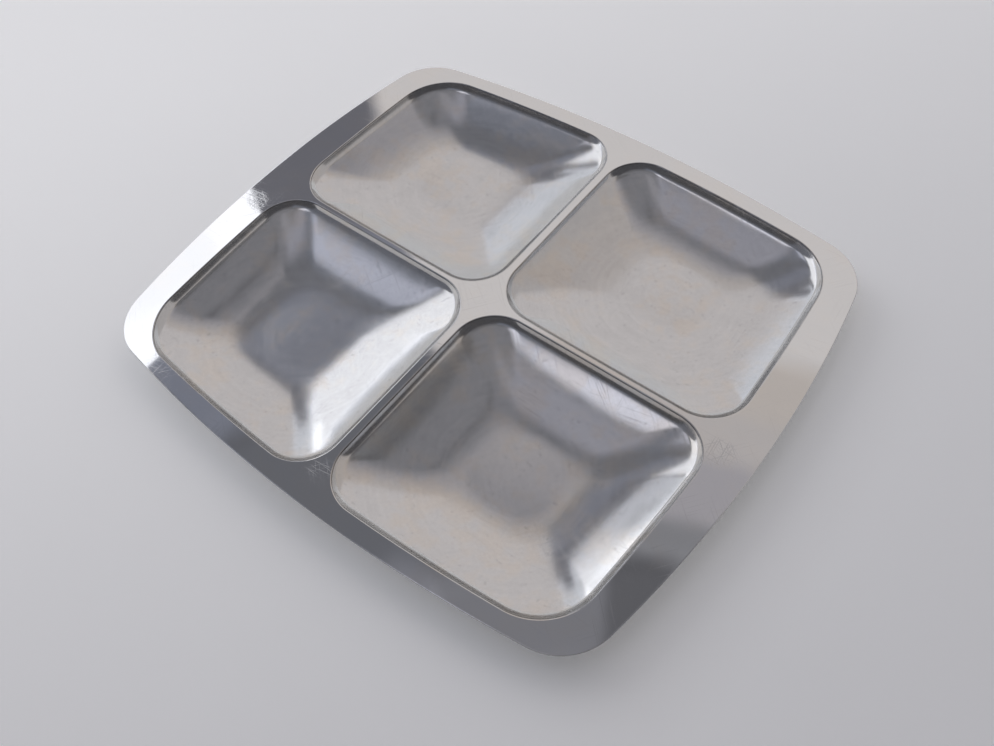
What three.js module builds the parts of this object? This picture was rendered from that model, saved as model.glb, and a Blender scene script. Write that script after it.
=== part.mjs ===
// Appetizer tray: one pressed sheet of stainless steel, in millimetres, +Z up.
// The ends lie along X and the long sides along Y. The wells stand on Z = 0, under the centre of the tray.
// The sheet is divided along the lips of its wells: the rim and each well are bodies that meet face to face.

import * as THREE from 'three';

// Sheet and its overall size.
const TRAY_LENGTH = 320;
const TRAY_WIDTH = 279;
const SHEET = 0.8;

// Cut outer edge: bowed ends and sides that meet in round corners.
const END_BOW_RADIUS = 634;
const SIDE_BOW_RADIUS = 856;
const RIM_CORNER_RADIUS = 30;

// Level land: its flanges from the cut edge to the wells, and the dividers between wells at their narrowest.
const END_FLANGE = 19.5;
const SIDE_FLANGE = 9.6;
const CROSS_DIVIDER = 3.2;
const LONG_DIVIDER = 1.5;

// Wells in plan: the bows of their outer sides and of the sides along the dividers, and their corners.
const WELL_END_BOW_RADIUS = 1246.5;
const WELL_SIDE_BOW_RADIUS = 1018.5;
const DIVIDER_BOW_RADIUS = 5600;
const WELL_OUTER_CORNER = 32;
const WELL_SIDE_CORNER = 22.8;
const WELL_INNER_CORNER = 23.3;

// Wells in section: a small flat floor, a shallow dish and, above a soft knee, a steep upper wall.
const WELL_DEPTH = 14;
const FLOOR_LENGTH = 40;
const FLOOR_WIDTH = 36;
const FLOOR_SQUARENESS = 2.5;
const DISH_POWER = 2;
const WALL_RISE = 2.2;
const KNEE_START = 0.95;
const KNEE_EASE = 0.014;

// Lips: the sheet bends tightly from the flanges into the wells, and more so over the dividers.
const FLANGE_LIP_RADIUS = 1.4;
const DIVIDER_LIP_RADIUS = 1.2;

// Facets.
const SIDE_STEPS = 4;
const CORNER_STEPS = 8;
const LIP_STEPS = 4;
const DISH_STEPS = 8;
const DISH_STEP_POWER = 1.8;
const LIP_PASSES = 8;

// Finishes.
const STEEL_COLOUR = 0xc8c9ca;
const POLISHED_ROUGHNESS = 0.08;
const SATIN_ROUGHNESS = 0.28;

// Places worked out from the sizes above.
const LAND_TOP = SHEET + WELL_DEPTH;
const FLOOR_TOP = SHEET;
const WELL_FAR_X = TRAY_LENGTH / 2 - END_FLANGE;
const WELL_FAR_Y = TRAY_WIDTH / 2 - SIDE_FLANGE;
const WELL_NEAR_X = CROSS_DIVIDER / 2;
const WELL_NEAR_Y = LONG_DIVIDER / 2;
const WELL_CENTRE = new THREE.Vector2((WELL_NEAR_X + WELL_FAR_X) / 2, (WELL_NEAR_Y + WELL_FAR_Y) / 2);

// Circle that one bowed side of an outline follows.
const bowedSide = (x, y, radius) => ({ centre: new THREE.Vector2(x, y), radius });

// Point where two circles cross, the one nearer to a given place.
function crossing(first, second, near) {
  const gap = first.centre.distanceTo(second.centre);
  const along = (first.radius ** 2 - second.radius ** 2 + gap ** 2) / (2 * gap);
  const across = Math.sqrt(first.radius ** 2 - along ** 2);
  const unit = second.centre.clone().sub(first.centre).divideScalar(gap);
  const foot = first.centre.clone().addScaledVector(unit, along);
  const offset = new THREE.Vector2(-unit.y, unit.x).multiplyScalar(across);
  const places = [foot.clone().add(offset), foot.clone().sub(offset)];
  return places.sort((a, b) => a.distanceTo(near) - b.distanceTo(near))[0];
}

// Points of an arc from one angle round to another, without its last point.
function arc(centre, radius, start, end, steps) {
  return new THREE.ArcCurve(centre.x, centre.y, radius, start, end, false).getPoints(steps).slice(0, -1);
}

// Closed outline, anticlockwise from the +X side: bowed sides, joined by arcs tangent to them at the corners.
function bowedOutline(sides, corners) {
  const nextSide = (i) => sides[(i + 1) % sides.length];
  const shrunk = (side, by) => ({ centre: side.centre, radius: side.radius - by });
  const heading = (from, to) => to.clone().sub(from).angle();
  const rounds = corners.map(({ radius, near }, i) => (
    crossing(shrunk(sides[i], radius), shrunk(nextSide(i), radius), near)
  ));
  return sides.flatMap((side, i) => {
    const start = heading(side.centre, rounds.at(i - 1));
    const turn = heading(side.centre, rounds[i]);
    const end = heading(nextSide(i).centre, rounds[i]);
    return [
      ...arc(side.centre, side.radius, start, turn, SIDE_STEPS),
      ...arc(rounds[i], corners[i].radius, turn, end, CORNER_STEPS),
    ];
  });
}

// Outline about the centre of the tray, from its reach and bows on each axis and one corner radius.
function centredOutline(reachX, reachY, endBow, sideBow, corner) {
  const sides = [
    bowedSide(reachX - endBow, 0, endBow),
    bowedSide(0, reachY - sideBow, sideBow),
    bowedSide(endBow - reachX, 0, endBow),
    bowedSide(0, sideBow - reachY, sideBow),
  ];
  const corners = [[1, 1], [-1, 1], [-1, -1], [1, -1]].map(([x, y]) => (
    { radius: corner, near: new THREE.Vector2(x * reachX, y * reachY) }
  ));
  return bowedOutline(sides, corners);
}

// Radius of the bend at each point of a lip: a flange's, a divider's, or a blend of the two round a corner.
function lipRadii() {
  const bySide = [FLANGE_LIP_RADIUS, FLANGE_LIP_RADIUS, DIVIDER_LIP_RADIUS, DIVIDER_LIP_RADIUS];
  return bySide.flatMap((radius, side) => {
    const next = bySide[(side + 1) % bySide.length];
    const corner = Array.from({ length: CORNER_STEPS }, (_, step) => (
      THREE.MathUtils.lerp(radius, next, THREE.MathUtils.smoothstep(step, 0, CORNER_STEPS))
    ));
    return [...Array(SIDE_STEPS).fill(radius), ...corner];
  });
}

// Lip of the well in the quarter with the given signs of X and Y, anticlockwise, with the radius of its bend.
function wellLip(signX, signY) {
  const sides = [
    bowedSide(WELL_FAR_X - WELL_END_BOW_RADIUS, 0, WELL_END_BOW_RADIUS),
    bowedSide(0, WELL_FAR_Y - WELL_SIDE_BOW_RADIUS, WELL_SIDE_BOW_RADIUS),
    bowedSide(WELL_NEAR_X + DIVIDER_BOW_RADIUS, WELL_CENTRE.y, DIVIDER_BOW_RADIUS),
    bowedSide(WELL_CENTRE.x, WELL_NEAR_Y + DIVIDER_BOW_RADIUS, DIVIDER_BOW_RADIUS),
  ];
  const corners = [
    { radius: WELL_OUTER_CORNER, near: new THREE.Vector2(WELL_FAR_X, WELL_FAR_Y) },
    { radius: WELL_SIDE_CORNER, near: new THREE.Vector2(WELL_NEAR_X, WELL_FAR_Y) },
    { radius: WELL_INNER_CORNER, near: new THREE.Vector2(WELL_NEAR_X, WELL_NEAR_Y) },
    { radius: WELL_SIDE_CORNER, near: new THREE.Vector2(WELL_FAR_X, WELL_NEAR_Y) },
  ];
  const outline = bowedOutline(sides, corners).map(({ x, y }) => new THREE.Vector2(signX * x, signY * y));
  const radii = lipRadii();
  return signX * signY > 0 ? { outline, radii } : { outline: outline.reverse(), radii: radii.reverse() };
}

// Outward normals of a closed anticlockwise outline, in plan.
function outwardNormals(outline) {
  return outline.map((_, i) => {
    const chord = outline[(i + 1) % outline.length].clone().sub(outline.at(i - 1)).normalize();
    return new THREE.Vector2(chord.y, -chord.x);
  });
}

// Closed surface gathered from rings of points and the bands of faces between them.
class Skin {
  constructor() {
    this.points = [];
    this.faces = [];
  }

  // Adds a ring and gives the numbers of its points.
  ring(points) {
    const first = this.points.length;
    this.points.push(...points);
    return points.map((_, i) => first + i);
  }

  // Joins two rings. Faces from an outer to an inner ring look up, and from a lower to an upper one out.
  band(from, to) {
    from.forEach((corner, i) => {
      const j = (i + 1) % from.length;
      this.faces.push([corner, from[j], to[j]], [corner, to[j], to[i]]);
    });
  }

  mesh(name, roughness) {
    const geometry = new THREE.BufferGeometry().setFromPoints(this.points);
    geometry.setIndex(this.faces.flat());
    geometry.computeVertexNormals();
    const material = new THREE.MeshStandardMaterial({ color: STEEL_COLOUR, roughness, metalness: 1 });
    const mesh = new THREE.Mesh(geometry, material);
    mesh.name = name;
    return mesh;
  }
}

const raised = (points, height) => points.map(({ x, y }) => new THREE.Vector3(x, y, height));
const sunk = (points) => points.map(({ x, y, z }) => new THREE.Vector3(x, y, z - SHEET));

// Level land from the cut edge inwards, with the mouths of the wells in it.
function rimAndDividers(mouths) {
  const reach = [TRAY_LENGTH / 2, TRAY_WIDTH / 2];
  const edge = centredOutline(...reach, END_BOW_RADIUS, SIDE_BOW_RADIUS, RIM_CORNER_RADIUS);
  const skin = new Skin();
  const loops = [edge, ...mouths].map((outline) => {
    const top = raised(outline, LAND_TOP);
    return { top: skin.ring(top), underside: skin.ring(sunk(top)) };
  });
  const [edgeLoop, ...mouthLoops] = loops;
  skin.band(edgeLoop.underside, edgeLoop.top);
  mouthLoops.forEach(({ top, underside }) => skin.band(top, underside));
  const tops = loops.flatMap(({ top }) => top);
  const undersides = loops.flatMap(({ underside }) => underside);
  THREE.ShapeUtils.triangulateShape(edge, mouths).forEach(([a, b, c]) => {
    skin.faces.push([tops[a], tops[b], tops[c]]);
    skin.faces.push([undersides[a], undersides[c], undersides[b]]);
  });
  return skin.mesh('rim_and_dividers', POLISHED_ROUGHNESS);
}

// How far the upper wall has risen at a share of the way out: evenly past the knee, and nothing before it.
function kneeRise(share) {
  return KNEE_EASE * Math.log1p(Math.exp((share - KNEE_START) / KNEE_EASE));
}

// Height and slope of the dish above the floor, a share of the way out from the floor to the bend of the lip.
function dishRise(share, rise, run) {
  const dish = rise - WALL_RISE;
  const wall = WALL_RISE / kneeRise(1);
  const height = dish * share ** DISH_POWER + wall * kneeRise(share);
  const dishSlope = dish * DISH_POWER * share ** (DISH_POWER - 1);
  const wallSlope = wall / (1 + Math.exp((KNEE_START - share) / KNEE_EASE));
  return { height, slope: (dishSlope + wallSlope) / run };
}

// Angle at which the bend of the lip runs into the wall, so that the two are tangent.
function bendAngle(run, radius) {
  let angle = Math.PI / 4;
  for (let pass = 0; pass < LIP_PASSES; pass += 1) {
    const rise = WELL_DEPTH - radius * (1 - Math.cos(angle));
    angle = Math.atan(dishRise(1, rise, run - radius * Math.sin(angle)).slope);
  }
  return angle;
}

// Rings of a well from its lip to the edge of its floor: the plan points, heights and slopes of its top.
function wellRings({ outline, radii }, centre) {
  const normals = outwardNormals(outline);
  const floor = outline.map((point) => {
    const way = point.clone().sub(centre);
    const along = Math.abs(way.x) / (FLOOR_LENGTH / 2);
    const across = Math.abs(way.y) / (FLOOR_WIDTH / 2);
    const reach = (along ** FLOOR_SQUARENESS + across ** FLOOR_SQUARENESS) ** (1 / FLOOR_SQUARENESS);
    return centre.clone().addScaledVector(way, 1 / reach);
  });
  const bends = outline.map((point, i) => bendAngle(point.clone().sub(floor[i]).dot(normals[i]), radii[i]));
  const rings = [];
  for (let step = 0; step <= LIP_STEPS; step += 1) {
    rings.push(outline.map((point, i) => {
      const angle = bends[i] * (step / LIP_STEPS);
      const plan = point.clone().addScaledVector(normals[i], -radii[i] * Math.sin(angle));
      return { plan, height: LAND_TOP - radii[i] * (1 - Math.cos(angle)), slope: Math.tan(angle) };
    }));
  }
  const wallTop = rings.at(-1);
  for (let step = 1; step <= DISH_STEPS; step += 1) {
    const share = 1 - (step / DISH_STEPS) ** DISH_STEP_POWER;
    rings.push(wallTop.map(({ plan, height }, i) => {
      const run = plan.clone().sub(floor[i]).dot(normals[i]);
      const rise = dishRise(share, height - FLOOR_TOP, run);
      return { plan: floor[i].clone().lerp(plan, share), height: FLOOR_TOP + rise.height, slope: rise.slope };
    }));
  }
  return rings;
}

// One dished well, from the underside of its flat floor to the lip that it shares with the land.
function well(name, lip, centre) {
  const skin = new Skin();
  const rings = wellRings(lip, centre).map((ring) => {
    const normals = outwardNormals(ring.map(({ plan }) => plan));
    const top = ring.map(({ plan, height }) => new THREE.Vector3(plan.x, plan.y, height));
    const underside = ring.map(({ slope }, i) => {
      const up = new THREE.Vector3(-slope * normals[i].x, -slope * normals[i].y, 1).normalize();
      return top[i].clone().addScaledVector(up, -SHEET);
    });
    return { top: skin.ring(top), underside: skin.ring(underside) };
  });
  rings.slice(1).forEach((inner, i) => {
    skin.band(rings[i].top, inner.top);
    skin.band(inner.underside, rings[i].underside);
  });
  skin.band(rings[0].underside, rings[0].top);

  const floor = rings.at(-1);
  const floorPlan = floor.top.map((i) => new THREE.Vector2(skin.points[i].x, skin.points[i].y));
  THREE.ShapeUtils.triangulateShape(floorPlan, []).forEach(([a, b, c]) => {
    skin.faces.push([floor.top[a], floor.top[b], floor.top[c]]);
    skin.faces.push([floor.underside[a], floor.underside[c], floor.underside[b]]);
  });
  return skin.mesh(name, SATIN_ROUGHNESS);
}

const QUARTERS = [
  { name: 'well_right_rear', signX: 1, signY: 1 },
  { name: 'well_left_rear', signX: -1, signY: 1 },
  { name: 'well_left_front', signX: -1, signY: -1 },
  { name: 'well_right_front', signX: 1, signY: -1 },
];

const tray = new THREE.Group();
tray.name = 'appetizer_tray';
const lips = QUARTERS.map(({ signX, signY }) => wellLip(signX, signY));
tray.add(rimAndDividers(lips.map(({ outline }) => outline)));
QUARTERS.forEach(({ name, signX, signY }, i) => {
  const centre = WELL_CENTRE.clone().multiply(new THREE.Vector2(signX, signY));
  tray.add(well(name, lips[i], centre));
});

export default tray;
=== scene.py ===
"""Dresses the appetizer tray: one pressed sheet of stainless steel with a polished rim and satin wells.

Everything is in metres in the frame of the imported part: +X along the tray's length, +Z up, with the
wells standing on Z = 0.
"""

import logging
import math
from dataclasses import dataclass
from enum import Enum
from typing import Sequence, Union

import bmesh
import bpy
from mathutils import Matrix, Vector


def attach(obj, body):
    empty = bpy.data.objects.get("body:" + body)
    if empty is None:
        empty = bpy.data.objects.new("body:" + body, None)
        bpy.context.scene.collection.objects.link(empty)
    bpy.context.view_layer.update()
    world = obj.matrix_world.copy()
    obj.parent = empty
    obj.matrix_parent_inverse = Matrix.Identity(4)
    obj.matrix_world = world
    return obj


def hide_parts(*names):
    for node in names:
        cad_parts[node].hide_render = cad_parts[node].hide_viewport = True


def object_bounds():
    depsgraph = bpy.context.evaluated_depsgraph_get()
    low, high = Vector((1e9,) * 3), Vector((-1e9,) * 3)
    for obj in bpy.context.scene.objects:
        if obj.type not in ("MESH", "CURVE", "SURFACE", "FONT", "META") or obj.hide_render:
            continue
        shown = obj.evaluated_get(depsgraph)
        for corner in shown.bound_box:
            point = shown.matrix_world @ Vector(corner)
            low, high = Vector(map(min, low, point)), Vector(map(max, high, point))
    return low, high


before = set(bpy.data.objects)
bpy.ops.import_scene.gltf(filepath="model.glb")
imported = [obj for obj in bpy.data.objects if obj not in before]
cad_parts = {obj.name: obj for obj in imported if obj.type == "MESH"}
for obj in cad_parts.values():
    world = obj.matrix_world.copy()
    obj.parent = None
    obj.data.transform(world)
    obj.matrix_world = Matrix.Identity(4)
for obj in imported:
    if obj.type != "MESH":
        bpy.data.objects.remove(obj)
CAD_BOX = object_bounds()

BODY = "root"
MM = 0.001
QUARTER_TURN = math.pi / 2
WELD = 2e-7
SHARP_ANGLE = math.radians(50)
BEND = "bend_radius"
GOLDEN_ANGLE = math.radians(137.5)
UPRIGHT = (0.0, 0.0, 1.0)
HALF_TURN_DEGREES = 180.0

log = logging.getLogger("appetizer_tray")

Number = Union[float, int, "Field"]
Pair = tuple[float, float]
Triple = tuple[float, float, float]
Key = Union[str, int]
Inputs = dict[Key, object]


class Quarter(Enum):
    """A quarter of the tray that holds one well, as the signs of X and Y."""

    RIGHT_REAR = (1, 1)
    LEFT_REAR = (-1, 1)
    LEFT_FRONT = (-1, -1)
    RIGHT_FRONT = (1, -1)

    @property
    def node(self) -> str:
        """Name of the well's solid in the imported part."""
        return "well_" + self.name.lower()

    def place(self, point: Vector) -> Vector:
        """Mirrors a point into this quarter from the one where X and Y are positive."""
        return Vector((self.value[0] * point.x, self.value[1] * point.y))

    def ordered(self, values: list) -> list:
        """Turns values round an outline about where the mirror image would run clockwise."""
        return values if self.value[0] * self.value[1] > 0 else values[::-1]


class Slot(Enum):
    """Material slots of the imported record."""

    POLISHED = "polished_steel"
    SATIN = "satin_steel"


class Field:
    """A number, a vector or a mesh that flows through a node tree, with the usual arithmetic."""

    def __init__(self, tree: "Tree", socket: bpy.types.NodeSocket) -> None:
        """Wraps an output socket of a node in the tree."""
        self.tree = tree
        self.socket = socket

    @property
    def is_vector(self) -> bool:
        """Whether the socket carries a vector."""
        return self.socket.type in {"VECTOR", "RGBA"}

    def __add__(self, other: Union[Number, Triple]) -> "Field":
        """Sum of two numbers or two vectors."""
        return self.tree.arithmetic("ADD", self, other)

    __radd__ = __add__

    def __sub__(self, other: Union[Number, Triple]) -> "Field":
        """Difference of two numbers or two vectors."""
        return self.tree.arithmetic("SUBTRACT", self, other)

    def __rsub__(self, other: Number) -> "Field":
        """A plain number less this one."""
        return self.tree.math("SUBTRACT", other, self)

    def __mul__(self, other: Number) -> "Field":
        """Product of two numbers, or a vector scaled by a number."""
        return self.tree.scaled(self, other) if self.is_vector else self.tree.math("MULTIPLY", self, other)

    __rmul__ = __mul__

    def __truediv__(self, other: Number) -> "Field":
        """Quotient of two numbers."""
        return self.tree.math("DIVIDE", self, other)

    def __rtruediv__(self, other: Number) -> "Field":
        """A plain number divided by this one."""
        return self.tree.math("DIVIDE", other, self)

    def __pow__(self, other: Number) -> "Field":
        """Power of a number."""
        return self.tree.math("POWER", self, other)

    def __rpow__(self, other: Number) -> "Field":
        """Power of a plain number."""
        return self.tree.math("POWER", other, self)


class Tree:
    """A node tree under construction, with short ways to add the nodes that the tray needs."""

    def __init__(self, nodes: bpy.types.NodeTree) -> None:
        """Wraps an existing node tree."""
        self.nodes = nodes

    def add(self, kind: str, **settings: object) -> bpy.types.Node:
        """Adds a node.

        Args:
            kind: Blender's name for the kind of node.
            settings: properties of the node to set.

        Returns:
            The new node.
        """
        node = self.nodes.nodes.new(kind)
        for name, value in settings.items():
            setattr(node, name, value)
        return node

    def feed(self, node: bpy.types.Node, inputs: Inputs) -> None:
        """Feeds a node.

        Args:
            node: the node.
            inputs: fields to link and plain values to set, by the inputs' names or numbers.
        """
        for name, value in inputs.items():
            if isinstance(value, Field):
                self.nodes.links.new(value.socket, node.inputs[name])
            else:
                node.inputs[name].default_value = value

    def out(self, node: bpy.types.Node, name: Key = 0) -> Field:
        """Output of a node as a field."""
        return Field(self, node.outputs[name])

    def run(self, kind: str, inputs: Inputs, output: Key = 0, **settings: object) -> Field:
        """Adds a node and feeds it.

        Args:
            kind: Blender's name for the kind of node.
            inputs: fields and plain values, by the inputs that they go in.
            output: the output that is wanted.
            settings: properties of the node to set.

        Returns:
            That output of the node.
        """
        node = self.add(kind, **settings)
        self.feed(node, inputs)
        return self.out(node, output)

    def math(self, operation: str, *values: Number) -> Field:
        """Result of a Math node on the given numbers."""
        return self.run("ShaderNodeMath", dict(enumerate(values)), operation=operation)

    def vector_math(self, operation: str, *values: Union[Field, Triple]) -> Field:
        """Result of a Vector Math node on the given vectors, a number where the operation gives one."""
        output = "Value" if operation in {"LENGTH", "DOT_PRODUCT"} else "Vector"
        return self.run("ShaderNodeVectorMath", dict(enumerate(values)), output, operation=operation)

    def arithmetic(self, operation: str, first: Field, second: Union[Number, Triple]) -> Field:
        """Math or Vector Math, whichever fits the first value."""
        fitting = self.vector_math if first.is_vector else self.math
        return fitting(operation, first, second)

    def scaled(self, vector: Field, factor: Number) -> Field:
        """A vector scaled by a number."""
        return self.run("ShaderNodeVectorMath", {0: vector, "Scale": factor}, operation="SCALE")

    def vector(self, x: Number, y: Number, z: Number) -> Field:
        """A vector put together from three numbers."""
        return self.run("ShaderNodeCombineXYZ", {0: x, 1: y, 2: z})

    def parts(self, vector: Field) -> tuple[Field, Field, Field]:
        """The three numbers of a vector."""
        node = self.run("ShaderNodeSeparateXYZ", {0: vector}).socket.node
        return self.out(node, 0), self.out(node, 1), self.out(node, 2)

    def blend(self, first: Field, second: Field, share: Number) -> Field:
        """The way from a first value to a second, both numbers or both vectors."""
        return first + (second - first) * share

    def unit(self, number: Number) -> Field:
        """A number held between 0 and 1."""
        return self.math("MAXIMUM", self.math("MINIMUM", number, 1.0), 0.0)

    def ramp(
        self, value: Field, low: float, high: float, at_low: float = 0.0, at_high: float = 1.0
    ) -> Field:
        """A smooth step between two values.

        Args:
            value: the number to map.
            low: where the step starts.
            high: where it ends, above or below the start.
            at_low: result at the start.
            at_high: result at the end.

        Returns:
            The mapped number.
        """
        inputs = dict(enumerate((value, low, high, at_low, at_high)))
        return self.run("ShaderNodeMapRange", inputs, interpolation_type="SMOOTHSTEP")

    def swing(self, value: Field, depth: float) -> Field:
        """A number from 0 to 1 as a swing of the given depth to both sides of 0."""
        return (value - 0.5) * (depth * 2)

    def noise(self, place: Field, scale: float, detail: float = 2.0) -> Field:
        """Smooth noise from 0 to 1 at a number of lumps for each metre."""
        return self.run("ShaderNodeTexNoise", {"Vector": place, "Scale": scale, "Detail": detail})

    def turned(self, place: Field, angle: float, units: Triple, shift: float) -> Field:
        """A place moved, turned about the upright axis and measured in its own unit on each axis."""
        moves = {"Location": (shift, shift, 0.0), "Rotation": (0.0, 0.0, angle), "Scale": units}
        return self.run("ShaderNodeMapping", {"Vector": place, **moves}, vector_type="TEXTURE")


class Rule(Tree):
    """A Geometry Nodes tree that makes one piece from a guide mesh and named sizes."""

    SOCKETS = {
        float: "NodeSocketFloat",
        int: "NodeSocketInt",
        Vector: "NodeSocketVector",
        bpy.types.Material: "NodeSocketMaterial",
    }

    def __init__(self, name: str, sizes: dict[str, object]) -> None:
        """Starts the tree.

        Args:
            name: name of the tree.
            sizes: each named input and the value that it is given.
        """
        super().__init__(bpy.data.node_groups.new(name, "GeometryNodeTree"))
        face = self.nodes.interface
        face.new_socket("Guide", in_out="INPUT", socket_type="NodeSocketGeometry")
        face.new_socket("Piece", in_out="OUTPUT", socket_type="NodeSocketGeometry")
        self.sizes = sizes
        self.identifiers: dict[str, str] = {}
        for title, value in sizes.items():
            kind = next(socket for plain, socket in self.SOCKETS.items() if isinstance(value, plain))
            self.identifiers[title] = face.new_socket(title, in_out="INPUT", socket_type=kind).identifier
        self.entry = self.add("NodeGroupInput")
        self.guide = self.size("Guide")

    def size(self, title: str) -> Field:
        """A named input of the tree."""
        return self.out(self.entry, title)

    def each_size(self, *titles: str) -> list[Field]:
        """Several named inputs of the tree."""
        return [self.size(title) for title in titles]

    def index(self) -> Field:
        """Number of the point that is being placed."""
        return self.run("GeometryNodeInputIndex", {})

    def position(self) -> Field:
        """Place of each point as it stands."""
        return self.run("GeometryNodeInputPosition", {})

    def row_and_column(self, count: Field) -> tuple[Field, Field]:
        """Row and column of the point that is being placed, on a grid whose last column meets its first.

        Args:
            count: number of columns before the first one comes again.

        Returns:
            The row and the column, worked out with halves so that rounding can't shift them.
        """
        row = self.math("FLOOR", (self.index() + 0.5) / (count + 1))
        column = self.math("MODULO", self.index(), count + 1)
        return row, self.math("MODULO", column + 0.5, count) - 0.5

    def guide_point(self, number: Field) -> Field:
        """Place of a numbered point of the guide."""
        return self.guide_value("FLOAT_VECTOR", self.position(), number)

    def guide_value(self, kind: str, value: Field, number: Field) -> Field:
        """A value read from a numbered point of the guide."""
        inputs = {"Geometry": self.guide, "Value": value, "Index": number}
        return self.run("GeometryNodeSampleIndex", inputs, data_type=kind, domain="POINT")

    def named(self, title: str) -> Field:
        """A number that the guide carries under a name."""
        return self.run("GeometryNodeInputNamedAttribute", {"Name": title}, data_type="FLOAT")

    def pick(self, kind: str, test: Field, false: Field, true: Field) -> Field:
        """One of two values, by a test that is 0 or 1."""
        return self.run("GeometryNodeSwitch", {0: test, 1: false, 2: true}, input_type=kind)

    def grid(self, rows: Number, columns: Number) -> Field:
        """A grid of points, numbered along each row in turn."""
        return self.run("GeometryNodeMeshGrid", {"Vertices X": rows, "Vertices Y": columns})

    def placed(self, mesh: Field, place: Field) -> Field:
        """A mesh with its points moved to the given places."""
        return self.run("GeometryNodeSetPosition", {"Geometry": mesh, "Position": place})

    def finish(self, mesh: Field) -> None:
        """Ends the tree: welds the seams, realises instances and sets the material.

        Args:
            mesh: what the tree has made.
        """
        whole = self.run("GeometryNodeMergeByDistance", {"Geometry": mesh, "Distance": WELD})
        real = self.run("GeometryNodeRealizeInstances", {"Geometry": whole})
        dress = self.run("GeometryNodeSetMaterial", {"Geometry": real, "Material": self.size("Metal")})
        self.feed(self.add("NodeGroupOutput"), {"Piece": dress})

    def make(self, name: str, guide: bpy.types.Mesh) -> bpy.types.Object:
        """Runs the tree on a guide and keeps the result as a plain closed mesh.

        Args:
            name: name of the piece.
            guide: mesh whose points the tree reads.

        Returns:
            The finished piece, at the origin.
        """
        piece = new_object(name, guide)
        modifier = piece.modifiers.new(self.nodes.name, "NODES")
        modifier.node_group = self.nodes
        for title, value in self.sizes.items():
            modifier[self.identifiers[title]] = value
        evaluated = piece.evaluated_get(bpy.context.evaluated_depsgraph_get())
        mesh = bpy.data.meshes.new_from_object(evaluated)
        piece.modifiers.remove(modifier)
        piece.data = mesh
        mesh.name = name
        bpy.data.meshes.remove(guide)
        close_mesh(mesh)
        return piece


def new_object(name: str, data: bpy.types.ID) -> bpy.types.Object:
    """Adds an object to the scene.

    Args:
        name: name of the object.
        data: the mesh, camera or lamp.

    Returns:
        The object.
    """
    added = bpy.data.objects.new(name, data)
    bpy.context.scene.collection.objects.link(added)
    return added


def new_material(name: str) -> tuple[bpy.types.Material, Tree, Field]:
    """Starts a material.

    Args:
        name: name of the material.

    Returns:
        The material, its tree and the coordinates of the piece that it is on.
    """
    material = bpy.data.materials.new(name)
    material.use_nodes = True
    tree = Tree(material.node_tree)
    return material, tree, tree.run("ShaderNodeTexCoord", {}, "Object")


def close_mesh(mesh: bpy.types.Mesh) -> None:
    """Welds a mesh, turns its faces outwards and shades it smooth apart from its cut edges.

    Args:
        mesh: the mesh.
    """
    work = bmesh.new()
    work.from_mesh(mesh)
    bmesh.ops.remove_doubles(work, verts=work.verts, dist=WELD)
    bmesh.ops.dissolve_degenerate(work, edges=work.edges, dist=WELD)
    bmesh.ops.delete(work, geom=[edge for edge in work.edges if edge.is_wire], context="EDGES")
    bmesh.ops.recalc_face_normals(work, faces=work.faces)
    work.to_mesh(mesh)
    work.free()
    mesh.shade_smooth()
    mesh.set_sharp_from_angle(angle=SHARP_ANGLE)


@dataclass(frozen=True)
class Arc:
    """A circle that one side of an outline follows."""

    centre: Vector
    radius: float

    def shrunk(self, by: float) -> "Arc":
        """The same circle with a smaller radius."""
        return Arc(self.centre, self.radius - by)

    def heading(self, point: Vector) -> float:
        """Angle at which a point lies from the centre."""
        way = point - self.centre
        return math.atan2(way.y, way.x)

    def crossing(self, other: "Arc", near: Vector) -> Vector:
        """Point where two circles cross, the one nearer to a given place.

        Args:
            other: the circle that crosses this one.
            near: the place.

        Returns:
            The nearer of the two crossings.
        """
        way = other.centre - self.centre
        along = (self.radius**2 - other.radius**2 + way.length_squared) / (2 * way.length)
        across = math.sqrt(self.radius**2 - along**2)
        unit = way.normalized()
        offset = Vector((-unit.y, unit.x)) * across
        foot = self.centre + unit * along
        return min((foot + offset, foot - offset), key=lambda point: (point - near).length)

    def points(self, start: float, end: float, steps: int) -> list[Vector]:
        """Points from one angle anticlockwise round to another, without the last one."""
        angles = [start + (end - start) % math.tau * step / steps for step in range(steps)]
        return [self.centre + self.radius * Vector((math.cos(a), math.sin(a))) for a in angles]


@dataclass(frozen=True)
class Corner:
    """A round corner of an outline: its radius and the place that it lies nearest to."""

    radius: float
    near: Vector


@dataclass(frozen=True)
class Outline:
    """A closed outline of four bowed sides and four round corners, anticlockwise from the +X side."""

    sides: Sequence[Arc]
    corners: Sequence[Corner]
    side_steps: int
    corner_steps: int

    def points(self) -> list[Vector]:
        """Points of the outline, with the same number in every side and in every corner.

        Returns:
            The points, anticlockwise.
        """
        count = len(self.sides)
        rounds = []
        for i, corner in enumerate(self.corners):
            here = self.sides[i].shrunk(corner.radius)
            after = self.sides[(i + 1) % count].shrunk(corner.radius)
            rounds.append(Arc(here.crossing(after, corner.near), corner.radius))
        points: list[Vector] = []
        for i, side in enumerate(self.sides):
            start = side.heading(rounds[i - 1].centre)
            turn = side.heading(rounds[i].centre)
            end = self.sides[(i + 1) % count].heading(rounds[i].centre)
            points += side.points(start, turn, self.side_steps)
            points += rounds[i].points(turn, end, self.corner_steps)
        return points

    def blended(self, by_side: Sequence[float]) -> list[float]:
        """Values at the points, from one for each side, blended smoothly round each corner.

        Args:
            by_side: the value on each side.

        Returns:
            One value for each point.
        """
        values: list[float] = []
        for i, here in enumerate(by_side):
            after = by_side[(i + 1) % len(by_side)]
            values += [here] * self.side_steps
            for step in range(self.corner_steps):
                share = step / self.corner_steps
                values.append(here + (after - here) * share * share * (3 - 2 * share))
        return values


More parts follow.
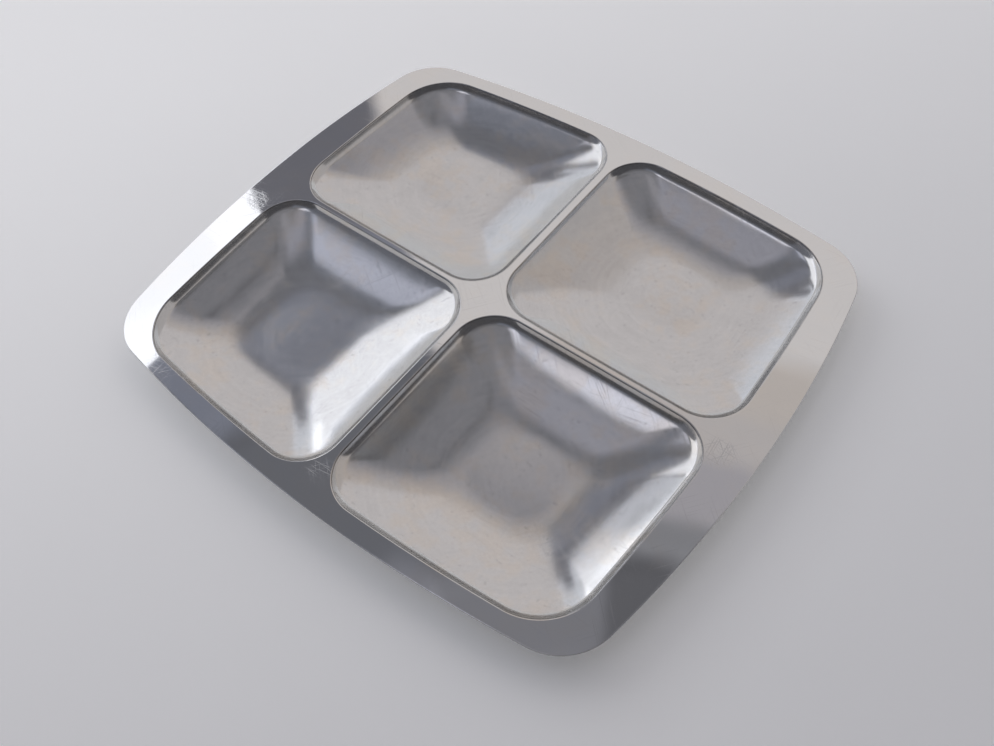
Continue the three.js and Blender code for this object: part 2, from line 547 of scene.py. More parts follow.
@dataclass(frozen=True)
class Sheet:
    """Sizes that the whole pressed sheet shares."""

    length: float = CAD_BOX[1].x - CAD_BOX[0].x
    width: float = CAD_BOX[1].y - CAD_BOX[0].y
    top: float = CAD_BOX[1].z
    thickness: float = 0.8 * MM
    end_flange: float = 19.5 * MM
    side_flange: float = 9.6 * MM
    cross_divider: float = 3.2 * MM
    long_divider: float = 1.5 * MM
    well_end_bow: float = 1246.5 * MM
    well_side_bow: float = 1018.5 * MM
    divider_bow: float = 5600 * MM
    outer_corner: float = 32 * MM
    side_corner: float = 22.8 * MM
    inner_corner: float = 23.3 * MM
    flange_lip_radius: float = 1.4 * MM
    divider_lip_radius: float = 1.2 * MM
    side_steps: int = 48
    corner_steps: int = 48

    @property
    def far(self) -> Vector:
        """Outermost reach of the wells on each axis."""
        return Vector((self.length / 2 - self.end_flange, self.width / 2 - self.side_flange))

    @property
    def near(self) -> Vector:
        """Innermost reach of the wells on each axis."""
        return Vector((self.cross_divider / 2, self.long_divider / 2))

    @property
    def well_centre(self) -> Vector:
        """Middle of the well in the quarter where X and Y are positive."""
        return (self.far + self.near) / 2

    def lip(self) -> Outline:
        """Lip in plan of the well in the quarter where X and Y are positive.

        Returns:
            The outline of the lip.
        """
        far, near, centre = self.far, self.near, self.well_centre
        sides = (
            Arc(Vector((far.x - self.well_end_bow, 0)), self.well_end_bow),
            Arc(Vector((0, far.y - self.well_side_bow)), self.well_side_bow),
            Arc(Vector((near.x + self.divider_bow, centre.y)), self.divider_bow),
            Arc(Vector((centre.x, near.y + self.divider_bow)), self.divider_bow),
        )
        corners = (
            Corner(self.outer_corner, far),
            Corner(self.side_corner, Vector((near.x, far.y))),
            Corner(self.inner_corner, near),
            Corner(self.side_corner, Vector((far.x, near.y))),
        )
        return Outline(sides, corners, self.side_steps, self.corner_steps)

    def lip_points(self, quarter: Quarter) -> list[Vector]:
        """Lip of one well in plan, anticlockwise."""
        return quarter.ordered([quarter.place(point) for point in self.lip().points()])

    def lip_radii(self, quarter: Quarter) -> list[float]:
        """Bend radius at each point of a lip: soft along the flanges, tight along the dividers."""
        soft, tight = self.flange_lip_radius, self.divider_lip_radius
        return quarter.ordered(self.lip().blended((soft, soft, tight, tight)))


def guide_mesh(name: str, loops: Sequence[Sequence[Vector]]) -> bpy.types.Mesh:
    """Makes a mesh of closed loops of edges in plan.

    Args:
        name: name of the mesh.
        loops: the points of each loop in order.

    Returns:
        The mesh, with the points numbered loop by loop.
    """
    points: list[Triple] = []
    edges: list[tuple[int, int]] = []
    for loop in loops:
        first, count = len(points), len(loop)
        points += [(point.x, point.y, 0.0) for point in loop]
        edges += [(first + i, first + (i + 1) % count) for i in range(count)]
    mesh = bpy.data.meshes.new(name)
    mesh.from_pydata(points, edges, [])
    return mesh


@dataclass
class Well:
    """One dished well: a flat floor, a dish, a steep upper wall and a lip bent out of the land."""

    sheet: Sheet
    quarter: Quarter
    floor_length: float = 40 * MM
    floor_width: float = 36 * MM
    floor_squareness: float = 2.5
    dish_power: float = 2.0
    wall_rise: float = 1.6 * MM
    knee_start: float = 0.964
    knee_ease: float = 0.0105
    lip_rings: int = 20
    dish_rings: int = 44
    floor_rings: int = 3
    lip_spread: float = 1.5
    dish_spread: float = 1.6
    bend_passes: int = 5

    @property
    def centre(self) -> Vector:
        """Middle of the well in plan."""
        return self.quarter.place(self.sheet.well_centre).to_3d()

    def rule(self, metal: bpy.types.Material) -> Rule:
        """Tree that draws the sheet down from the lip to the floor and back up under it.

        Args:
            metal: material of the well.

        Returns:
            The finished tree.
        """
        rule = Rule("press_" + self.quarter.node, {
            "Centre": self.centre,
            "Land Height": self.sheet.top,
            "Sheet Thickness": self.sheet.thickness,
            "Floor Length": self.floor_length,
            "Floor Width": self.floor_width,
            "Floor Squareness": self.floor_squareness,
            "Dish Power": self.dish_power,
            "Wall Rise": self.wall_rise,
            "Knee Start": self.knee_start,
            "Knee Ease": self.knee_ease,
            "Points Around": len(self.sheet.lip_points(self.quarter)),
            "Lip Rings": self.lip_rings,
            "Dish Rings": self.dish_rings,
            "Floor Rings": self.floor_rings,
            "Metal": metal,
        })
        lip_rings, dish_rings, floor_rings = rule.each_size("Lip Rings", "Dish Rings", "Floor Rings")
        land, sheet, centre = rule.each_size("Land Height", "Sheet Thickness", "Centre")
        count = rule.size("Points Around")
        rings = lip_rings + dish_rings + floor_rings

        # The rows run down the top of the well, back up its underside, and end where they began.
        row, column = rule.row_and_column(count)
        last = rings * 2 + 1
        closing = rule.math("GREATER_THAN", row, last + 0.5)
        under = rule.math("GREATER_THAN", row, rings + 0.5) - closing
        ring = rule.math("MAXIMUM", rule.math("MINIMUM", row, last - row), 0.0)

        # Lip point, its outward normal in plan, the floor's edge beneath it and the run between them.
        lip = rule.guide_point(column)
        radius = rule.guide_value("FLOAT", rule.named(BEND), column)
        after = rule.guide_point(rule.math("MODULO", column + 1.0, count))
        before = rule.guide_point(rule.math("MODULO", column + count - 1.0, count))
        along_lip = rule.vector_math("NORMALIZE", after - before)
        outward = rule.vector_math("CROSS_PRODUCT", along_lip, UPRIGHT)
        way = lip - centre
        half_floor = rule.vector(rule.size("Floor Length") * 0.5, rule.size("Floor Width") * 0.5, 1.0)
        in_floors = rule.vector_math("DIVIDE", way, half_floor)
        along, across, _ = rule.parts(rule.vector_math("ABSOLUTE", in_floors))
        squareness = rule.size("Floor Squareness")
        reach = (along**squareness + across**squareness) ** (1.0 / squareness)
        floor = centre + way * (1.0 / reach)
        run = rule.vector_math("DOT_PRODUCT", lip - floor, outward)
        bend = self.bend(rule, run, radius)

        # Each ring's shares of the way through the lip's bend, the dish and the flat floor.
        lip_share = rule.unit(ring / lip_rings) ** self.lip_spread
        dish_share = 1.0 - rule.unit((ring - lip_rings) / dish_rings) ** self.dish_spread
        floor_share = rule.unit((ring - lip_rings - dish_rings) / floor_rings)
        angle = bend * lip_share
        lip_plan = lip - outward * (radius * rule.math("SINE", angle))
        lip_height = land - radius * (1.0 - rule.math("COSINE", angle))
        wall_top = lip - outward * (radius * rule.math("SINE", bend))
        rise = land - sheet - radius * (1.0 - rule.math("COSINE", bend))
        dish_run = run - radius * rule.math("SINE", bend)
        dish_height, dish_slope = self.dish(rule, dish_share, rise, dish_run)
        inner_plan = rule.blend(rule.blend(floor, wall_top, dish_share), centre, floor_share)

        # The top of the sheet, and the underside one thickness below it along the surface's normal.
        past_lip = rule.math("GREATER_THAN", ring, lip_rings + 0.5)
        plan = rule.pick("VECTOR", past_lip, lip_plan, inner_plan)
        height = rule.pick("FLOAT", past_lip, lip_height, sheet + dish_height)
        slope = rule.pick("FLOAT", past_lip, rule.math("TANGENT", angle), dish_slope)
        flat_x, flat_y, _ = rule.parts(outward * (0.0 - slope))
        normal = rule.vector_math("NORMALIZE", rule.vector(flat_x, flat_y, 1.0))
        x, y, _ = rule.parts(plan)
        place = rule.vector(x, y, height) - normal * (sheet * under)
        rule.finish(rule.placed(rule.grid(last + 2, count + 1), place))
        return rule

    def dish(self, rule: Rule, share: Number, rise: Field, run: Field) -> tuple[Field, Field]:
        """Height and slope of the dish above the floor.

        Args:
            rule: the tree that the nodes go in.
            share: share of the way out from the floor to the bend of the lip.
            rise: height of the bend's lower end above the floor.
            run: distance in plan from the floor to there.

        Returns:
            The height and the slope.
        """
        power, wall_rise = rule.each_size("Dish Power", "Wall Rise")
        start, ease = rule.each_size("Knee Start", "Knee Ease")
        past = rule.math("EXPONENT", (share - start) / ease)
        knee = rule.math("LOGARITHM", past + 1.0, math.e)
        whole_knee = rule.math("LOGARITHM", rule.math("EXPONENT", (1.0 - start) / ease) + 1.0, math.e)
        height = (rise - wall_rise) * share**power + wall_rise * knee / whole_knee
        dish_slope = (rise - wall_rise) * power * share ** (power - 1.0)
        wall_slope = wall_rise / whole_knee / ease * past / (past + 1.0)
        return height, (dish_slope + wall_slope) / run

    def bend(self, rule: Rule, run: Field, radius: Field) -> Field:
        """Angle through which the lip bends so that it runs tangent into the wall below it.

        Args:
            rule: the tree that the nodes go in.
            run: distance in plan from the floor to the lip.
            radius: radius of the bend.

        Returns:
            The angle, found by a few passes from an eighth of a turn.
        """
        depth = rule.size("Land Height") - rule.size("Sheet Thickness")
        angle: Number = math.pi / 4
        for _ in range(self.bend_passes):
            rise = depth - radius * (1.0 - rule.math("COSINE", angle))
            _, slope = self.dish(rule, 1.0, rise, run - radius * rule.math("SINE", angle))
            angle = rule.math("ARCTANGENT", slope)
        return angle

    def build(self, metal: bpy.types.Material) -> bpy.types.Object:
        """Makes the well and puts it in place of its solid.

        Args:
            metal: material of the well.

        Returns:
            The well.
        """
        guide = guide_mesh("lip_guide", [self.sheet.lip_points(self.quarter)])
        bends = guide.attributes.new(BEND, "FLOAT", "POINT")
        bends.data.foreach_set("value", self.sheet.lip_radii(self.quarter))
        piece = self.rule(metal).make(self.quarter.node + "_sheet", guide)
        return dressed(piece, self.quarter.node)


@dataclass
class Rim:
    """Level land round the mouths of the wells, out to a cut edge whose arrises are rubbed round."""

    sheet: Sheet
    end_bow: float = 634 * MM
    side_bow: float = 856 * MM
    corner: float = 30 * MM
    guard: float = 0.2 * MM
    side_steps: int = 64
    corner_steps: int = 64
    edge_rings: int = 10
    node: str = "rim_and_dividers"

    def edge(self, inset: float) -> list[Vector]:
        """Outline of the tray a little way inside its cut edge.

        Args:
            inset: how far inside.

        Returns:
            Points of the outline.
        """
        x, y = self.sheet.length / 2 - inset, self.sheet.width / 2 - inset
        end_bow, side_bow = self.end_bow - inset, self.side_bow - inset
        sides = (
            Arc(Vector((x - end_bow, 0)), end_bow),
            Arc(Vector((0, y - side_bow)), side_bow),
            Arc(Vector((end_bow - x, 0)), end_bow),
            Arc(Vector((0, side_bow - y)), side_bow),
        )
        signs = ((1, 1), (-1, 1), (-1, -1), (1, -1))
        corners = [Corner(self.corner - inset, Vector((i * x, j * y))) for i, j in signs]
        return Outline(sides, corners, self.side_steps, self.corner_steps).points()

    def guide(self) -> bpy.types.Mesh:
        """Guide of the rim: the middle of its round edge, the border of the land, and the wells' lips.

        Returns:
            The guide.
        """
        half_sheet = self.sheet.thickness / 2
        edges = [self.edge(half_sheet), self.edge(half_sheet + self.guard)]
        lips = [self.sheet.lip_points(quarter) for quarter in Quarter]
        return guide_mesh("rim_guide", edges + lips)

    def rule(self, metal: bpy.types.Material) -> Rule:
        """Tree that turns the sheet round its edge and fills the land between its border and the lips.

        Args:
            metal: material of the rim.

        Returns:
            The finished tree.
        """
        rule = Rule("press_rim", {
            "Land Height": self.sheet.top,
            "Sheet Thickness": self.sheet.thickness,
            "Points Around": 4 * (self.side_steps + self.corner_steps),
            "Edge Rings": self.edge_rings,
            "Metal": metal,
        })
        join = rule.add("GeometryNodeJoinGeometry")
        lands = [self.fill(rule, sheets) for sheets in (0.0, -1.0)]
        for mesh in (self.cut_edge(rule), *lands, self.mouths(rule)):
            rule.feed(join, {0: mesh})
        rule.finish(rule.out(join))
        return rule

    def cut_edge(self, rule: Rule) -> Field:
        """Nodes of the cut edge: out from the land's border, round the edge and back in beneath.

        Args:
            rule: the tree that the nodes go in.

        Returns:
            The strip of sheet along the edge.
        """
        count, edge_rings = rule.each_size("Points Around", "Edge Rings")
        land, sheet = rule.each_size("Land Height", "Sheet Thickness")
        row, column = rule.row_and_column(count)
        edge = rule.guide_point(column)
        border = rule.guide_point(column + count)
        outward = rule.vector_math("NORMALIZE", edge - border)
        border_rows = [rule.math("COMPARE", row, number, 0.5) for number in (0.0, edge_rings + 2.0)]
        at_border = border_rows[0] + border_rows[1]
        angle = QUARTER_TURN - rule.unit((row - 1.0) / edge_rings) * math.pi
        round_edge = edge + outward * (sheet * 0.5 * rule.math("COSINE", angle))
        x, y, _ = rule.parts(rule.blend(round_edge, border, at_border))
        place = rule.vector(x, y, land - sheet * 0.5 + sheet * 0.5 * rule.math("SINE", angle))
        return rule.placed(rule.grid(edge_rings + 3, count + 1), place)

    def loops(self, rule: Rule, skipped: float) -> Field:
        """Nodes that leave out the first loops of the guide.

        Args:
            rule: the tree that the nodes go in.
            skipped: number of loops that are left out.

        Returns:
            The other loops.
        """
        first = rule.size("Points Around") * skipped
        kept = rule.math("GREATER_THAN", rule.index(), first - 0.5)
        inputs = {"Geometry": rule.guide, "Selection": kept}
        return rule.run("GeometryNodeSeparateGeometry", inputs, domain="POINT")

    def fill(self, rule: Rule, sheets: float) -> Field:
        """Nodes that fill the land, at its top or at its underside.

        Args:
            rule: the tree that the nodes go in.
            sheets: number of sheet thicknesses above the top.

        Returns:
            The filled land.
        """
        curve = rule.run("GeometryNodeMeshToCurve", {"Mesh": self.loops(rule, 1.0)})
        land = rule.run("GeometryNodeFillCurve", {"Curve": curve})
        x, y, _ = rule.parts(rule.position())
        height = rule.size("Land Height") + rule.size("Sheet Thickness") * sheets
        return rule.placed(land, rule.vector(x, y, height))

    def mouths(self, rule: Rule) -> Field:
        """Nodes of the upright cut through the sheet at the mouth of each well.

        Args:
            rule: the tree that the nodes go in.

        Returns:
            The four upright strips.
        """
        down = rule.vector(0.0, 0.0, 0.0 - rule.size("Sheet Thickness"))
        inputs = {"Mesh": self.loops(rule, 2.0), "Offset": down, "Offset Scale": 1.0}
        walls = rule.run("GeometryNodeExtrudeMesh", inputs, mode="EDGES")
        return rule.placed(walls, rule.position() + rule.vector(0.0, 0.0, rule.size("Land Height")))

    def build(self, metal: bpy.types.Material) -> bpy.types.Object:
        """Makes the rim and puts it in place of its solid."""
        piece = self.rule(metal).make("rim_sheet", self.guide())
        return dressed(piece, self.node)


def dressed(piece: bpy.types.Object, node: str) -> bpy.types.Object:
    """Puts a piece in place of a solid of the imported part.

    Args:
        piece: the finished piece.
        node: the solid that it stands for.

    Returns:
        The piece.
    """
    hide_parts(node)
    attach(piece, BODY)
    faces = len(piece.data.polygons)
    log.info("%s stands for %s with %d faces", piece.name, node, faces)
    return piece


@dataclass(frozen=True)
class Scuff:
    """A place that rubbing has scratched, by its middle in plan and its radius."""

    x: float
    y: float
    radius: float


@dataclass(frozen=True)
class Steel:
    """A worn finish of stainless steel: clouded, finely scratched and dulled along its edges.

    A size is a length on the tray. A depth is a share of the tone, or a height in the relief. A band is
    the stretch of a noise from 0 to 1 over which a mark fades in. A shift keeps one noise apart from
    the others.
    """

    name: str
    colour: Triple
    roughness: float
    metallic: float
    top: float = CAD_BOX[1].z

    # Clouds, smudges and grain, and how far they dull the polish
    cloud_size: float = 38 * MM
    cloud_depth: float = 0.07
    smudge_size: float = 9 * MM
    smudge_depth: float = 0.05
    smudge_shift: Triple = (0.3, 0.7, 0.0)
    grain_size: float = 1.6 * MM
    grain_depth: float = 0.0
    dulling: float = 0.28

    # Brown stains and dark specks
    stain: Triple = (1.0, 0.95, 0.89)
    stain_share: float = 0.5
    stain_smudge: float = 0.45
    stain_band: Pair = (0.47, 0.63)
    speck_size: float = 2.4 * MM
    speck_depth: float = 0.0
    speck_band: Pair = (0.66, 0.76)
    speck_shift: Triple = (0.5, 0.2, 0.0)

    # Hairline scratches in patches, and close scratches in the scuffs
    scratch_layers: int = 6
    scratch_length: float = 36 * MM
    scratch_width: float = 0.6 * MM
    scratch_roughness: float = 0.45
    scratch_depth: float = 0.005 * MM
    scratch_tint: float = 0.2
    scratch_shift: float = 3.7
    patch_shift: Pair = (1.3, 0.9)
    patch_band: Pair = (0.44, 0.62)
    hairline: float = 0.16
    hairline_band: Pair = (0.62, 0.72)
    scuffs: tuple[Scuff, ...] = ()
    scuff_band: Pair = (0.6, 0.68)
    scuff_core: float = 0.3
    scuff_ragged: Pair = (0.4, 1.6)

    # Waves of the pressed sheet, and rings of the polishing wheel
    wave_size: float = 26 * MM
    wave_depth: float = 0.05 * MM
    wave_shift: Triple = (0.9, 0.1, 0.0)
    swirl: float = 0.0
    swirl_dulling: float = 4.0
    swirl_width: float = 2.2 * MM
    swirl_wander: float = 1.5
    swirl_centre: Pair = (0.0, 0.0)
    swirl_seeds: Pair = (3.0, 7.0)

    # Dark line in the bend of a lip, and the rubbed edge
    lip_line_depth: float = 0.0
    lip_line_top: float = 0.04 * MM
    lip_line_bottom: float = 0.46 * MM
    lip_line_fades: Pair = (4.0, 0.6)
    lip_line_band: Pair = (0.25, 0.55)
    lip_line_least: float = 0.6
    edge_roughness: float = 0.12
    edge_depth: float = 0.06 * MM
    edge_start: float = 0.3

    def material(self) -> bpy.types.Material:
        """Makes the material, with its wear by nodes on the tray's own coordinates.

        Returns:
            The material.
        """
        material, tree, place = new_material(self.name)
        clouds = tree.noise(place, 1 / self.cloud_size, detail=3.0)
        smudges = tree.noise(place + self.smudge_shift, 1 / self.smudge_size, detail=3.0)
        grain = tree.noise(place, 1 / self.grain_size)
        specks = tree.noise(place + self.speck_shift, 1 / self.speck_size, detail=1.0)
        waves = tree.noise(place + self.wave_shift, 1 / self.wave_size, detail=1.0)
        scratches = self.scratches(tree, place)
        swirls = self.swirls(tree, place)
        below = self.top - tree.parts(place)[2]
        # A darker line in the bend of each lip, a fraction of a millimetre below the level land.
        line = self.lip_line(tree, below, smudges) * self.lip_line_depth
        worn = tree.ramp(below, self.edge_depth * self.edge_start, self.edge_depth) * (1.0 - self.lip_line_depth)

        # Tone of the metal, browner where it is stained
        tone = 1.0 + tree.swing(clouds, self.cloud_depth) + tree.swing(smudges, self.smudge_depth)
        tone = tone + tree.swing(swirls, self.swirl) + tree.swing(grain, self.grain_depth)
        dark = tree.ramp(specks, *self.speck_band)
        tone = tone - scratches * self.scratch_tint - dark * self.speck_depth
        metal = tree.vector(*self.colour) * (tone * (1.0 - line))
        brown = tree.vector_math("MULTIPLY", metal, tree.vector(*self.stain))
        stained = tree.ramp(tree.blend(clouds, smudges, self.stain_smudge), *self.stain_band)
        colour = tree.blend(metal, brown, stained * self.stain_share)

        # Polish, duller in the clouds, the scratches, the lip's line and along the edge
        dull = 1.0 + tree.swing(clouds, self.dulling) + tree.swing(smudges, self.dulling)
        dull = dull + tree.swing(swirls, self.swirl * self.swirl_dulling)
        rough = dull * self.roughness + scratches * self.scratch_roughness
        rough = rough + (worn + line) * self.edge_roughness

        # Relief of the waves and the scratches
        relief = waves * self.wave_depth - scratches * self.scratch_depth
        tree.feed(tree.nodes.nodes["Principled BSDF"], {
            "Base Color": colour,
            "Metallic": self.metallic,
            "Roughness": tree.unit(rough),
            "Normal": tree.run("ShaderNodeBump", {"Height": relief, "Distance": 1.0}),
        })
        return material

    def scratches(self, tree: Tree, place: Field) -> Number:
        """Scratches in a few directions: hairlines in patches, and close ones in the scuffs.

        Args:
            tree: the material's tree.
            place: coordinates on the tray.

        Returns:
            A number from 0 on clean metal to 1 in a scratch.
        """
        total: Number = 0.0
        rubbed = self.rubbed(tree, place)
        units = (self.scratch_length, self.scratch_width, 1.0)
        for layer in range(self.scratch_layers):
            turned = tree.turned(place, layer * GOLDEN_ANGLE, units, layer * self.scratch_shift)
            lines = tree.noise(turned, 1.0, detail=1.0)
            aside = (layer * self.patch_shift[0], layer * self.patch_shift[1], 0.0)
            patches = tree.noise(place + aside, 1 / self.cloud_size)
            hairlines = tree.ramp(patches, *self.patch_band) * tree.ramp(lines, *self.hairline_band)
            total = tree.math("MAXIMUM", total, hairlines * self.hairline)
            total = tree.math("MAXIMUM", total, tree.ramp(lines, *self.scuff_band) * rubbed * patches)
        return total

    def rubbed(self, tree: Tree, place: Field) -> Number:
        """How far a place lies in one of the scuffs.

        Args:
            tree: the material's tree.
            place: coordinates on the tray.

        Returns:
            A number from 0 outside the scuffs to 1 within.
        """
        x, y, _ = tree.parts(place)
        total: Number = 0.0
        low, high = self.scuff_ragged
        for scuff in self.scuffs:
            away = tree.vector_math("LENGTH", tree.vector(x - scuff.x, y - scuff.y, 0.0))
            ragged = away * (low + tree.noise(place, 1 / scuff.radius, detail=3.0) * (high - low))
            inside = tree.ramp(ragged, scuff.radius, scuff.radius * self.scuff_core)
            total = tree.math("MAXIMUM", total, inside)
        return total

    def swirls(self, tree: Tree, place: Field) -> Field:
        """Faint rings that a polishing wheel leaves round the middle of each well.

        Args:
            tree: the material's tree.
            place: coordinates on the tray.

        Returns:
            A number from 0 to 1, even along each ring.
        """
        across, along, _ = tree.parts(tree.vector_math("ABSOLUTE", place))
        x, y, _ = tree.parts(place)
        off_x = across - self.swirl_centre[0]
        off_y = along - self.swirl_centre[1]
        away = tree.vector_math("LENGTH", tree.vector(off_x, off_y, 0.0))
        turn = tree.math("ARCTAN2", off_y, off_x)
        quarter = tree.math("SIGN", x) * self.swirl_seeds[0] + tree.math("SIGN", y) * self.swirl_seeds[1]
        wander = tree.math("SINE", turn) * self.swirl_wander
        rings = tree.vector(away / self.swirl_width, wander, quarter + tree.math("COSINE", turn))
        return tree.noise(rings, 1.0)

    def lip_line(self, tree: Tree, below: Field, smudges: Field) -> Field:
        """Dark line in the bend of a lip, a band a fraction of a millimetre below the level land.

        Args:
            tree: the material's tree.
            below: depth under the level land.
            smudges: noise that makes the line uneven.

        Returns:
            A number from 0 off the line to 1 in it.
        """
        upper = tree.ramp(below, self.lip_line_top, self.lip_line_top * self.lip_line_fades[0])
        lower = tree.ramp(below, self.lip_line_bottom, self.lip_line_bottom * self.lip_line_fades[1])
        return upper * lower * tree.ramp(smudges, *self.lip_line_band, self.lip_line_least, 1.0)


POLISHED_STEEL = Steel(
    name="polished_steel",
    colour=(0.6, 0.6, 0.595),
    roughness=0.035,
    metallic=1.0,
    cloud_depth=0.03,
    smudge_depth=0.02,
    stain_share=0.25,
    scuffs=(Scuff(0.001, -0.122, 0.012), Scuff(0.142, -0.008, 0.01), Scuff(-0.15, -0.018, 0.009)),
)
SATIN_STEEL = Steel(
    name="satin_steel",
    colour=(0.55, 0.547, 0.543),
    roughness=0.105,
    metallic=0.86,
    smudge_depth=0.075,
    grain_depth=0.05,
    speck_depth=0.1,
    wave_depth=0.12 * MM,
    stain_share=0.85,
    swirl=0.05,
    swirl_centre=(71.05 * MM, 65.3 * MM),
    lip_line_depth=0.7,
)


@dataclass(frozen=True)
class Panel:
    """A soft-edged patch of light in the studio, by its angles in degrees and its light."""

    name: str
    azimuth: float
    half_width: float
    low: float
    high: float
    softness: float
    light: Triple


PANELS = (
    Panel("zenith", 0, 181, 75, 95, 3, (0.22, 0.22, 0.24)),
    Panel("zenith_left", 156, 20, 75, 88, 3, (0.14, 0.13, 0.14)),
    Panel("ceiling_warm", 90, 50, 54, 57.5, 0.8, (0.62, 0.56, 0.52)),
    Panel("ceiling_pale", 94, 46, 57.5, 60.5, 0.8, (0.58, 0.54, 0.53)),
    Panel("ceiling_grey", 101, 39, 60.5, 64.5, 0.8, (0.43, 0.41, 0.44)),
    Panel("ceiling_dim", 101, 39, 64.5, 67, 0.8, (0.24, 0.24, 0.26)),
    Panel("ceiling_dark_right", 86, 24, 67, 75, 1.5, (0.2, 0.2, 0.22)),
    Panel("ceiling_dark_gap", 115.5, 5.5, 67, 75, 1.5, (0.09, 0.09, 0.1)),
    Panel("ceiling_dark_left", 135.5, 14.5, 67, 75, 1.5, (0.2, 0.2, 0.225)),
    Panel("ceiling_side", 41, 21, 60, 75, 3, (0.06, 0.06, 0.06)),
    Panel("ceiling_left", 156, 16, 54, 67, 2, (0.115, 0.12, 0.14)),
    Panel("ceiling_far_left", 232, 60, 50, 67, 3, (0.13, 0.145, 0.185)),
    Panel("ceiling_behind", 326, 82, 62, 75, 4, (0.12, 0.12, 0.13)),
    Panel("upper_left", 180, 30, 67, 75, 3, (0.41, 0.41, 0.48)),
    Panel("wall", 115.5, 25.5, -20, 54, 0.9, (0.79, 0.75, 0.745)),
    Panel("right_wall", 58.5, 31.5, -20, 54, 1.5, (0.57, 0.54, 0.53)),
    Panel("strip", 148.5, 7.5, 31.5, 46, 0.9, (0.13, 0.13, 0.155)),
    Panel("strip_top", 154.5, 13.5, 46, 54, 1.2, (0.19, 0.205, 0.265)),
    Panel("below_right", 142.2, 1.3, -20, 36, 0.8, (0.92, 0.95, 1.03)),
    Panel("below_strip", 146.5, 3, -20, 31.5, 1.5, (0.95, 0.99, 1.08)),
    Panel("beside_window", 150.9, 1.4, -20, 39.5, 0.8, (0.95, 0.99, 1.08)),
    Panel("under_window_side", 154.2, 1.9, -20, 28, 0.8, (0.95, 0.99, 1.08)),
    Panel("sill", 180, 24, -20, 20, 1, (1.0, 1.05, 1.18)),
    Panel("left_wall", 222, 17, -20, 50, 4, (0.1, 0.11, 0.14)),
    Panel("left_patch", 194, 13, 50.5, 59.5, 3, (0.58, 0.6, 0.72)),
    Panel("high_patch", 228.7, 13.8, 60.5, 72, 2.5, (1.15, 1.15, 1.28)),
)
AMBIENT = (0.08, 0.08, 0.088)


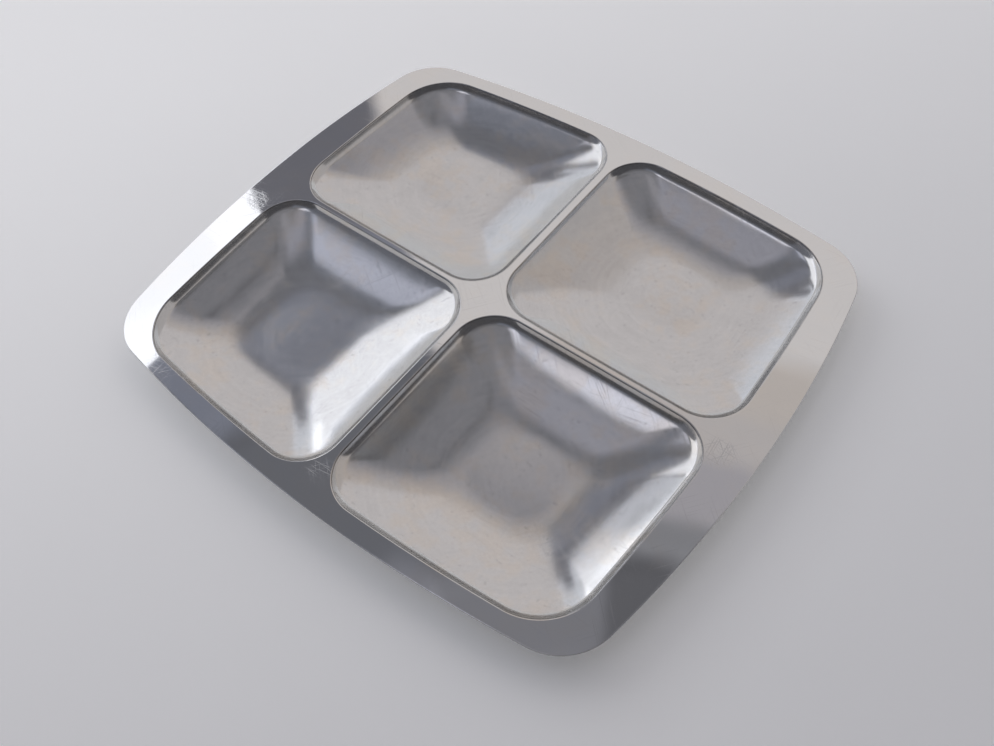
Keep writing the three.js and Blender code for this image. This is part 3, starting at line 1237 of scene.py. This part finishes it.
@dataclass
class Studio:
    """Floor, light and camera round the tray."""

    eye: Triple = (0.21229, -0.2132, 0.39171)
    aim: Triple = (0.03423, -0.03224, 0.0148)
    roll: float = math.radians(-7.605)
    lens: float = 34.045
    sensor: float = 36.0
    near_clip: float = 10 * MM
    floor_radius: float = 2.2
    sweep_radius: float = 0.9
    sweep_steps: int = 12
    floor_steps: int = 96
    floor_colour: Triple = (0.9, 0.9, 0.905)
    floor_roughness: float = 0.6
    # Painted light on the floor: a glow brighter on the window side, dimmer towards the near right and
    # stronger again out on the far sweep.
    painted_light_window_side: float = 0.31
    painted_light_near_right: float = 0.075
    painted_light_reach: float = 0.38
    painted_light_fall: Triple = (0.871, -0.492, 0.0)
    painted_light_far_sweep: float = 0.36
    sweep_span: Pair = (0.3, 0.7)
    mottle_size: float = 0.12
    mottle_depth: float = 0.02
    window_away: float = 2.2
    window_right: float = 1.08
    window_left: float = -0.92
    window_low: float = 0.8
    window_high: float = 2.45
    window_light: Triple = (1.5, 1.52, 1.6)

    def camera(self) -> None:
        """Makes the camera and stands it where the tray was seen from."""
        data = bpy.data.cameras.new("camera")
        data.sensor_fit = "HORIZONTAL"
        data.sensor_width = self.sensor
        data.lens = self.lens
        data.clip_start = self.near_clip
        camera = new_object("camera", data)
        gaze = Vector(self.aim) - Vector(self.eye)
        turn = gaze.to_track_quat("-Z", "Y").to_matrix() @ Matrix.Rotation(self.roll, 3, "Z")
        camera.matrix_world = Matrix.Translation(self.eye) @ turn.to_4x4()
        bpy.context.scene.camera = camera

    def floor(self) -> None:
        """Makes the floor, a round plain table that sweeps up at its far edge."""
        profile = [(self.floor_radius, 0.0)]
        for step in range(1, self.sweep_steps + 1):
            angle = QUARTER_TURN * step / self.sweep_steps
            profile.append((
                self.floor_radius + self.sweep_radius * math.sin(angle),
                self.sweep_radius * (1 - math.cos(angle)),
            ))
        work = bmesh.new()
        rings = []
        angles = [math.tau * step / self.floor_steps for step in range(self.floor_steps)]
        for radius, height in profile:
            points = [(radius * math.cos(a), radius * math.sin(a), height) for a in angles]
            rings.append([work.verts.new(point) for point in points])
        work.faces.new(rings[0])
        for inner, outer in zip(rings, rings[1:]):
            for i in range(self.floor_steps):
                j = (i + 1) % self.floor_steps
                work.faces.new((inner[i], outer[i], outer[j], inner[j]))
        mesh = bpy.data.meshes.new("floor")
        work.to_mesh(mesh)
        work.free()
        mesh.shade_smooth()
        mesh.materials.append(self.floor_finish())
        new_object("floor", mesh)

    def floor_finish(self) -> bpy.types.Material:
        """Makes the floor's material: pale, faintly mottled, with a glow of its own where it is seen that
        paints light, brighter on the window side and falling off towards the near right.

        Returns:
            The material.
        """
        material, tree, place = new_material("pale_floor")
        mottle = tree.noise(place, 1 / self.mottle_size, detail=3.0)
        tone = 1.0 + tree.swing(mottle, self.mottle_depth)

        # Painted light: the glow is brightest on the window side and falls off towards the near right, as
        # the window's light would. It is strongest on the far sweep.
        down = tree.vector_math("DOT_PRODUCT", place, self.painted_light_fall)
        painted_light = tree.ramp(down, -self.painted_light_reach, self.painted_light_reach, self.painted_light_window_side, self.painted_light_near_right)
        near, far = (-self.floor_radius * share for share in self.sweep_span)
        painted_light = painted_light + tree.ramp(down, near, far, 0.0, self.painted_light_far_sweep)
        paths = tree.add("ShaderNodeLightPath")
        kinds = ("Camera", "Glossy", "Transmission")
        camera, glossy, clear = (tree.out(paths, f"Is {kind} Ray") for kind in kinds)
        tree.feed(tree.nodes.nodes["Principled BSDF"], {
            "Base Color": tree.vector(*self.floor_colour) * tone,
            "Roughness": self.floor_roughness,
            "Emission Color": (*self.floor_colour, 1.0),
            "Emission Strength": tree.unit(camera + glossy + clear) * painted_light,
        })
        return material

    def world(self) -> None:
        """Makes the light: a dim room with soft panels, each a patch in azimuth and elevation."""
        world = bpy.data.worlds.new("studio_light")
        bpy.context.scene.world = world
        world.use_nodes = True
        tree = Tree(world.node_tree)
        x, y, z = tree.parts(tree.run("ShaderNodeTexCoord", {}, "Generated"))
        azimuth = tree.math("DEGREES", tree.math("ARCTAN2", y, x))
        elevation = tree.math("DEGREES", tree.math("ARCSINE", z))
        light = tree.vector(*AMBIENT)
        for panel in PANELS:
            turn = tree.math("WRAP", azimuth - panel.azimuth, HALF_TURN_DEGREES, -HALF_TURN_DEGREES)
            aside = tree.math("ABSOLUTE", turn)
            soft = panel.softness
            inside = tree.ramp(aside, panel.half_width + soft, panel.half_width - soft)
            above = tree.ramp(elevation, panel.low - soft, panel.low + soft)
            below = tree.ramp(elevation, panel.high + soft, panel.high - soft)
            light = light + tree.vector(*panel.light) * (inside * above * below)
        tree.feed(tree.nodes.nodes["Background"], {"Color": light})

    def window(self) -> None:
        """Hangs the main light, an upright soft box that faces the tray from beyond its left end."""
        data = bpy.data.lights.new("window", "AREA")
        data.shape = "RECTANGLE"
        data.size = self.window_right - self.window_left
        data.size_y = self.window_high - self.window_low
        strength = max(self.window_light)
        data.color = [value / strength for value in self.window_light]
        data.energy = strength * math.pi * data.size * data.size_y
        lamp = new_object("window", data)
        middle = Vector((
            -self.window_away,
            (self.window_right + self.window_left) / 2,
            (self.window_high + self.window_low) / 2,
        ))
        facing = Vector((1, 0, 0)).to_track_quat("-Z", "Y").to_matrix()
        lamp.matrix_world = Matrix.Translation(middle) @ facing.to_4x4()

    def build(self) -> None:
        """Sets up everything round the tray."""
        self.camera()
        self.floor()
        self.window()
        self.world()
        bpy.context.scene.view_settings.view_transform = "Standard"


def main() -> None:
    """Builds the studio and the tray, piece by piece."""
    logging.basicConfig(level=logging.INFO, format="%(name)s: %(message)s")
    Studio().build()
    sheet = Sheet()
    Rim(sheet).build(POLISHED_STEEL.material())
    satin = SATIN_STEEL.material()
    for quarter in Quarter:
        Well(sheet, quarter).build(satin)


if __name__ == "__main__":
    main()
